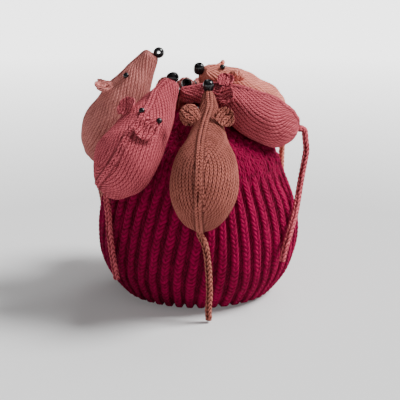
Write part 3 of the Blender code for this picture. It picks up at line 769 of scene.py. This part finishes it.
def settled_share(mouse, places, spreads):
    """Return how far the CAD body reaches, as a share of the free body, on a fine grid."""
    tree = node_tree(mouse.name + "_body")
    solid_places = mouse.outline[1:-1, 0]
    middles, _, ups, lefts = mouse.at(solid_places)
    table = np.ones((len(solid_places), SOLID_SIDES))
    turns = 2.0 * np.pi * np.arange(SOLID_SIDES) / SOLID_SIDES
    for i, middle in enumerate(middles):
        for k, turn in enumerate(turns):
            reach = ups[i] * FLATNESS * math.cos(turn) + lefts[i] * math.sin(turn)
            full = mouse.outline[i + 1, 1] * np.linalg.norm(reach)
            hit = tree.ray_cast(Vector(middle), Vector(reach))[0]
            if hit is not None:
                table[i, k] = np.linalg.norm(np.array(hit) - middle) / full
    wrapped = np.hstack([table, table[:, :1]])
    around = np.stack([np.interp(spreads % (2.0 * np.pi), [*turns, 2.0 * np.pi], line)
                       for line in wrapped])
    fine = np.stack([np.interp(places, solid_places, column) for column in around.T], axis=1)
    fine = blurred(fine, 1, MOUSE_SIDES // SOLID_SIDES, wrap=True)
    return np.clip(blurred(fine, 0, MOUSE_RINGS // len(solid_places)), *SETTLED_RANGE)


def body_mesh(mouse):
    """Return a stuffed, knitted body with its ridged seam along the back."""
    profile = smooth_path(mouse.outline * (mouse.length, 1.0), MOUSE_RINGS)[1:-1]
    places = profile[:, 0] / mouse.length
    spreads = 2.0 * np.pi * np.arange(MOUSE_SIDES) / MOUSE_SIDES
    middles, _, ups, lefts = mouse.at(places)
    share = settled_share(mouse, places, spreads)
    reach = (ups[:, None] * FLATNESS * np.cos(spreads)[None, :, None]
             + lefts[:, None] * np.sin(spreads)[None, :, None])
    skin = middles[:, None] + reach * (share * profile[:, 1:])[..., None]

    sideways = np.roll(skin, -1, axis=1) - np.roll(skin, 1, axis=1)
    outward = unit(np.cross(sideways, np.gradient(skin, axis=0)))
    outward *= np.sign((outward * (skin - middles[:, None])).sum(-1).mean())
    steps = np.linalg.norm(np.diff(np.concatenate([skin, skin[:, :1]], axis=1), axis=1), axis=-1)
    run = np.concatenate([np.zeros((len(skin), 1)), np.cumsum(steps, axis=1)], axis=1)
    ring = run[:, -1:]
    around = np.where(run[:, :-1] < ring / 2, run[:, :-1], run[:, :-1] - ring)
    from_belly = ring / 2 - abs(around)
    drift = mouse.seam_wander * np.sin(np.pi * np.clip(places / SEAM_RUN, 0.0, 1.0))[:, None]
    from_back = abs(around - drift)
    on_seam = from_back < MOUSE_WALE
    wale = np.where(on_seam, from_back / MOUSE_WALE + SEAM_FIRST_WALE, from_belly / MOUSE_WALE)
    climb = np.linalg.norm(np.diff(skin, axis=0), axis=-1)
    climb += (1.0 - ROW_STRETCH) * (climb.mean(axis=1, keepdims=True) - climb)
    row = np.vstack([np.zeros((1, climb.shape[1])), np.cumsum(climb, axis=0)]) / MOUSE_ROW
    row -= row[len(row) // 2]

    ridge = 0.5 + 0.5 * np.cos(2.0 * np.pi * (fraction(wale) - 0.5))
    seam = SEAM_RIDGE * (1.0 - smooth_step(from_back / MOUSE_WALE, *SEAM_FALL))
    lumps = STUFFING_LUMP * waves(row, from_belly, STUFFING_WAVES)
    fade = np.minimum(1.0, profile[:, 1:] / (END_FADE * MOUSE_WALE))
    skin = skin + outward * (((ridge - 1.0) * MOUSE_STITCH + seam + lumps) * fade)[..., None]

    ends = mouse.line[[0, -1]]
    points = np.vstack([skin.reshape(-1, 3), ends])
    rings, sides = skin.shape[:2]
    faces = quads(rings, sides, wrap_columns=True)
    rump, nose = rings * sides, rings * sides + 1
    last = (rings - 1) * sides
    for k in range(sides):
        after = (k + 1) % sides
        faces.append([after, k, rump])
        faces.append([last + k, last + after, nose])
    wales = np.concatenate([wale.ravel(), [0.0, 0.0]])
    rows = np.concatenate([row.ravel(), [row.min(), row.max()]])
    mesh = finished_mesh(mouse.name + "_skin", points, faces, wales, rows)
    # Painted shade beside the seam and in the split down its middle, fading with the relief.
    beside = np.exp(-((from_back - MOUSE_WALE * SEAM_HOLLOW_SHADE[0]) / SEAM_HOLLOW_SHADE[1]) ** 2)
    between = np.exp(-(from_back / SEAM_SPLIT) ** 2)
    painted_hollow_shade = (np.maximum(beside, between) * fade).ravel()
    set_attribute(mesh, "painted_hollow_shade", np.append(painted_hollow_shade, (0.0, 0.0)))
    set_attribute(mesh, "furry", np.ones(len(points)))
    return mesh


def ear_mesh(node):
    """Return a knitted ear: the CAD ear made round and fine, then knotted and crumpled."""
    data = bpy.data.meshes.new("ear_cage")
    cage = bmesh.new()
    cage.from_mesh(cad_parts[node].data)
    bmesh.ops.remove_doubles(cage, verts=cage.verts[:], dist=1e-6)
    between_faces, in_shape = EAR_JOIN_ANGLES
    bmesh.ops.join_triangles(cage, faces=cage.faces[:], angle_face_threshold=between_faces,
                             angle_shape_threshold=in_shape)
    cage.to_mesh(data)
    cage.free()
    holder = bpy.data.objects.new("ear_cage", data)
    bpy.context.scene.collection.objects.link(holder)
    rounder = holder.modifiers.new("round", "SUBSURF")
    rounder.levels = EAR_LEVELS
    rounder.render_levels = EAR_LEVELS
    bpy.context.view_layer.update()
    graph = bpy.context.evaluated_depsgraph_get()
    fine = bpy.data.meshes.new_from_object(holder.evaluated_get(graph))
    bpy.data.objects.remove(holder)
    bpy.data.meshes.remove(data)
    points = np.array([vertex.co for vertex in fine.vertices]) / MM - COSY_AXIS
    outward = np.array([vertex.normal for vertex in fine.vertices])
    faces = [list(face.vertices) for face in fine.polygons]
    bpy.data.meshes.remove(fine)
    centre = points.mean(axis=0)
    share, shift = DRAWN_IN.get(node, (1.0, (0.0, 0.0, 0.0)))
    points = centre + (points - centre) * share + shift
    centre = centre + shift
    _, _, axes = np.linalg.svd(points - centre, full_matrices=False)
    across = (points - centre) @ axes[0]
    upright = (points - centre) @ axes[1]
    from_knot = np.array([noise.voronoi(Vector(point) / EAR_KNOT_WIDTH)[0][0]
                          for point in points])
    crumple = np.array([noise.noise(Vector(point) * EAR_CRUMPLE_SCALE) for point in points])
    lift = EAR_KNOT * (EAR_KNOT_MIDDLE - from_knot) + EAR_CRUMPLE * crumple
    points = points + outward * lift[:, None]
    wale = across / EAR_WALE + EAR_STRAY * crumple
    row = upright / EAR_ROW + EAR_STRAY * from_knot
    mesh = finished_mesh(node + "_knit", points, faces, wale, row)
    # Painted shade between the knots.
    set_attribute(mesh, "painted_hollow_shade", np.clip(from_knot - EAR_KNOT_EDGE, 0.0, 1.0))
    set_attribute(mesh, "furry", np.ones(len(points)))
    return mesh


def turn_onto(axis):
    """Return a turn whose third column is the axis."""
    axis = unit(np.array(axis))
    hint = np.array((0.0, 0.0, 1.0)) if abs(axis[2]) < 0.9 else np.array((1.0, 0.0, 0.0))
    side = unit(np.cross(hint, axis))
    return np.stack([side, np.cross(axis, side), axis], axis=1)


def nose_mesh(mouse):
    """Return a barrel bead with a rounded bore."""
    half = NOSE_LENGTH / 2
    upper = ((NOSE_BORE, half * 0.4), (NOSE_BORE, half - 1.4), (NOSE_BORE + 0.35, half - 0.5),
             (NOSE_BORE + 0.9, half - 0.08), (NOSE_RADIUS - 1.9, half - 0.25),
             (NOSE_RADIUS - 1.1, half - 0.9), (NOSE_RADIUS - 0.5, half * 0.62),
             (NOSE_RADIUS - 0.12, half * 0.3))
    section = list(upper) + [(NOSE_RADIUS, 0.0)] + [(r, -h) for r, h in reversed(upper)]
    turn = 2.0 * np.pi * np.arange(NOSE_STEPS)[None, :] / NOSE_STEPS
    radius, height = (np.array(column)[:, None] for column in zip(*section))
    points = np.stack(np.broadcast_arrays(radius * np.cos(turn), radius * np.sin(turn), height),
                      axis=-1)
    centre = sunk_centre(mouse.name + "_nose_bead", mouse.name + "_body", NOSE_SINK)
    points = points @ turn_onto(mouse.bore).T + centre
    faces = quads(len(section), NOSE_STEPS, wrap_rows=True, wrap_columns=True)
    return finished_mesh(mouse.name + "_nose", points, faces)


def sunk_centre(node, body, sink):
    """Return the centre of a CAD bead, moved into the wool under it."""
    centre = node_points(node).mean(axis=0)
    near = np.array(node_tree(body).find_nearest(Vector(centre))[0])
    return centre + unit(near - centre) * sink


def eye_mesh(node, body):
    """Return a small flattened ball where the CAD eye is."""
    solid = node_points(node)
    centre = sunk_centre(node, body, EYE_SINK)
    _, _, axes = np.linalg.svd(solid - solid.mean(axis=0), full_matrices=False)
    ball = bmesh.new()
    around, up = EYE_STEPS
    bmesh.ops.create_uvsphere(ball, u_segments=around, v_segments=up, radius=EYE_RADIUS)
    points = np.array([vertex.co for vertex in ball.verts]) * (1.0, 1.0, EYE_FLATNESS)
    faces = [[vertex.index for vertex in face.verts] for face in ball.faces]
    ball.free()
    return finished_mesh(node + "_bead", points @ turn_onto(axes[2]).T + centre, faces)


def tail_points(mouse):
    """Return the tail's middle points: straight out of the rump, then down its route."""
    rump = mouse.line[0]
    knots = [rump + mouse.ahead[0] * TAIL_SINK, rump - mouse.ahead[0] * TAIL_LEAD]
    knots += [np.array(knot) for knot in TAILS[mouse.name]]
    length = run_length(np.array(knots))[-1]
    return smooth_path(knots, int(length / (TAIL_ROW / TAIL_ROW_STEPS)) + 1)


def tail_mesh(mouse, middles):
    """Return a knitted cord along the tail's middle points."""
    ahead = unit(np.gradient(middles, axis=0))
    across = unit(np.cross(ahead, np.array(TAIL_FACING)))
    other = np.cross(ahead, across)
    run = run_length(middles)[:, None]
    turn = 2.0 * np.pi * np.arange(TAIL_SIDES)[None, :] / TAIL_SIDES
    wale, row = np.broadcast_arrays(turn / (2.0 * np.pi) * TAIL_WALES, run / TAIL_ROW)
    from_end = np.clip(np.minimum(run, run[-1] - run) / TAIL_CLOSING, 0.0, 1.0)
    closing = np.sqrt(from_end * (2.0 - from_end))
    radius = TAIL_RADIUS + TAIL_FULLNESS - TAIL_STITCH * (1.0 - stitch_height(wale, row))
    radius = radius * (TAIL_END + (1.0 - TAIL_END) * closing)
    ring = across[:, None] * np.cos(turn)[..., None] + other[:, None] * np.sin(turn)[..., None]
    points = middles[:, None] + ring * radius[..., None]
    count = len(middles)
    faces = quads(count, TAIL_SIDES, wrap_columns=True)
    faces.append(list(range(TAIL_SIDES))[::-1])
    faces.append(list(range((count - 1) * TAIL_SIDES, count * TAIL_SIDES)))
    mesh = finished_mesh(mouse.name + "_cord", points, faces, wale, row, wale_count=TAIL_WALES)
    set_attribute(mesh, "furry", np.ones(points.shape[:2]))
    return mesh


# Loose fibres


def fibre_tree():
    """Return a node group that grows short loose fibres on the furry side of a piece."""
    tree = bpy.data.node_groups.new("wool_fibres", "GeometryNodeTree")
    sockets = (("Surface", "NodeSocketGeometry"), ("Density", "NodeSocketFloat"),
               ("Length", "NodeSocketFloat"), ("Radius", "NodeSocketFloat"),
               ("Lean", "NodeSocketFloat"), ("Seed", "NodeSocketInt"),
               ("Wool", "NodeSocketMaterial"))
    for name, kind in sockets:
        tree.interface.new_socket(name, in_out="INPUT", socket_type=kind)
    tree.interface.new_socket("Fibres", in_out="OUTPUT", socket_type="NodeSocketGeometry")
    graph = Graph(tree)
    given = graph.add("NodeGroupInput")
    furry = graph.add("GeometryNodeInputNamedAttribute", {"data_type": "FLOAT"},
                      {"Name": "furry"})
    roots = graph.add("GeometryNodeDistributePointsOnFaces", inputs={
        "Mesh": given.out("Surface"), "Density": given.out("Density") * furry,
        "Seed": given.out("Seed")})
    lean = given.out("Lean")
    low = graph.add("ShaderNodeCombineXYZ", inputs={"X": lean * -1.0, "Y": lean * -1.0,
                                                    "Z": -math.pi})
    high = graph.add("ShaderNodeCombineXYZ", inputs={"X": lean, "Y": lean, "Z": math.pi})
    turn = graph.add("FunctionNodeRandomValue", {"data_type": "FLOAT_VECTOR"},
                     {"Min": low, "Max": high, "Seed": given.out("Seed")})
    turn = graph.add("FunctionNodeEulerToRotation", inputs={"Euler": turn})
    turn = graph.add("FunctionNodeRotateRotation", {"rotation_space": "LOCAL"},
                     {"Rotation": roots.out("Rotation"), "Rotate By": turn})
    least, most = FIBRE_SCALES
    size = graph.add("FunctionNodeRandomValue", {"data_type": "FLOAT"},
                     {2: least, 3: most, "Seed": given.out("Seed")}, output=1)
    fibre = graph.add("GeometryNodeMeshCone", inputs={
        "Vertices": 3, "Radius Top": 0.0, "Radius Bottom": given.out("Radius"),
        "Depth": given.out("Length")})
    sown = graph.add("GeometryNodeInstanceOnPoints", inputs={
        "Points": roots, "Instance": fibre, "Rotation": turn, "Scale": size})
    real = graph.add("GeometryNodeRealizeInstances", inputs={"Geometry": sown})
    dyed = graph.add("GeometryNodeSetMaterial", inputs={"Geometry": real,
                                                        "Material": given.out("Wool")})
    graph.add("NodeGroupOutput", inputs={"Fibres": dyed})
    return tree


def add_fibres(piece, tree, finish, seed):
    """Grow loose fibres on a knitted piece."""
    grower = piece.modifiers.new("fibres", "NODES")
    grower.node_group = tree
    given = {"Density": FIBRES, "Length": FIBRE_LENGTH * MM, "Radius": FIBRE_RADIUS * MM,
             "Lean": FIBRE_LEAN, "Seed": seed, "Wool": finish}
    for item in tree.interface.items_tree:
        if item.name in given:
            grower[item.identifier] = given[item.name]
    bpy.context.view_layer.update()
    graph = bpy.context.evaluated_depsgraph_get()
    mesh = bpy.data.meshes.new_from_object(piece.evaluated_get(graph))
    piece.modifiers.remove(grower)
    return dressed(piece.name + "_fibres", mesh, finish, piece["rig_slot"])


# Floor, light and camera


def add_camera():
    """Look at the cosy from the front, a little from above."""
    rise = math.radians(CAMERA_RISE)
    back = Vector((0.0, -math.cos(rise), math.sin(rise)))
    aim = Vector((np.array(CAMERA_AIM) + COSY_AXIS) * MM)
    lens = bpy.data.cameras.new("camera")
    lens.lens = LENS
    lens.sensor_width = SENSOR
    camera = bpy.data.objects.new("camera", lens)
    camera.location = aim + back * CAMERA_DISTANCE * MM
    camera.rotation_euler = (-back).to_track_quat("-Z", "Y").to_euler()
    bpy.context.scene.collection.objects.link(camera)
    bpy.context.scene.camera = camera


def add_floor():
    """Lay a wide pale floor with a painted glow, an emission that grows brighter with distance."""
    bpy.ops.mesh.primitive_plane_add(size=FLOOR_WIDTH)
    floor = bpy.context.object
    floor.name = "floor"
    finish = bpy.data.materials.new("pale_floor")
    finish.use_nodes = True
    graph = Graph(finish.node_tree)
    shader = finish.node_tree.nodes["Principled BSDF"]
    shader.inputs["Base Color"].default_value = (FLOOR_GREY, FLOOR_GREY, FLOOR_GREY, 1.0)
    shader.inputs["Roughness"].default_value = 0.9
    place = graph.add("ShaderNodeTexCoord").out("Object")
    # Painted light: the floor glows, more with distance from its middle.
    far = graph.add("ShaderNodeVectorMath", {"operation": "LENGTH"}, {0: place}, output=1)
    stops = [(share, (grey, grey, grey)) for share, grey in FLOOR_GLOW]
    glow = graph.add("ShaderNodeValToRGB", {"stops": stops}, {"Fac": far / FLOOR_REACH})
    finish.node_tree.links.new(glow.socket, shader.inputs["Emission Color"])
    shader.inputs["Emission Strength"].default_value = FAR_BRIGHTNESS
    floor.data.materials.append(finish)


def add_sun(name, azimuth, rise, strength, softness):
    """Add a soft light from an azimuth, 0 in front and 90 on the right, at a height angle."""
    lamp = bpy.data.lights.new(name, "SUN")
    lamp.energy = strength
    lamp.angle = math.radians(softness)
    light = bpy.data.objects.new(name, lamp)
    a = math.radians(azimuth)
    e = math.radians(rise)
    towards = Vector((math.sin(a) * math.cos(e), -math.cos(a) * math.cos(e), math.sin(e)))
    light.rotation_euler = towards.to_track_quat("Z", "Y").to_euler()
    bpy.context.scene.collection.objects.link(light)


def add_light():
    """Light the cosy from the right, with a weak fill all round."""
    for sun in SUNS:
        add_sun(*sun)
    world = bpy.data.worlds.new("studio")
    world.use_nodes = True
    graph = Graph(world.node_tree)
    towards = graph.add("ShaderNodeTexCoord")
    rise = graph.add("ShaderNodeSeparateXYZ", inputs={"Vector": towards}).out("Z")
    glow = graph.add("ShaderNodeValToRGB", {"stops": ((0.0, (1.0, 1.0, 1.0)),
                                                      (HORIZON_GLOW, (FILL, FILL, FILL)))},
                     {"Fac": rise})
    studio = world.node_tree.nodes["Background"]
    world.node_tree.links.new(glow.socket, studio.inputs["Color"])
    studio.inputs["Strength"].default_value = FAR_BRIGHTNESS
    bpy.context.scene.world = world


def add_tail(mouse, finishes):
    """Knit a mouse's tail as a limp cord."""
    middles = tail_points(mouse)
    tail = dressed(mouse.name + "_cord", tail_mesh(mouse, middles), finishes[mouse.wool],
                   mouse.wool, mouse.name + "_tail")
    return tail


def add_cosy_half(name, side, finishes, loose, fibres):
    """Knit one half of the cosy, with its loose fibres."""
    half = dressed(name + "_knit", cosy_half_mesh(name + "_knit", side),
                   finishes["crimson_wool"], "crimson_wool", name)
    coat = add_fibres(half, fibres, loose["crimson_wool"], side + 1)


def add_mouse(mouse, finishes, glass):
    """Knit a mouse's body and ears, sew on its beads and return the knitted pieces."""
    body = dressed(mouse.name + "_skin", body_mesh(mouse), finishes[mouse.wool], mouse.wool,
                   mouse.name + "_body")
    knitted = [body]
    dressed(mouse.name + "_nose", nose_mesh(mouse), glass, "black_glass",
            mouse.name + "_nose_bead")
    for side in ("left", "right"):
        ear = f"{mouse.name}_ear_{side}"
        knitted.append(dressed(ear + "_knit", ear_mesh(ear), finishes[mouse.wool],
                               mouse.wool, ear))
        eye = f"{mouse.name}_eye_{side}"
        dressed(eye + "_bead", eye_mesh(eye, mouse.name + "_body"), glass, "black_glass", eye)
    return knitted


def main():
    """Dress every piece, then light them."""
    add_camera()
    finishes = {name: wool(name) for name in WOOLS}
    loose = {name: loose_wool(name) for name in WOOLS}
    glass = black_glass()
    fibres = fibre_tree()
    mice = [Mouse(*row) for row in MICE]
    knitted = [add_tail(mouse, finishes) for mouse in mice]
    add_cosy_half("cosy_front", -1, finishes, loose, fibres)
    add_cosy_half("cosy_back", 1, finishes, loose, fibres)
    for mouse in mice:
        knitted += add_mouse(mouse, finishes, glass)
    for seed, piece in enumerate(knitted, MICE_SEED):
        add_fibres(piece, fibres, loose[piece["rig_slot"]], seed)
    add_floor()
    add_light()


main()
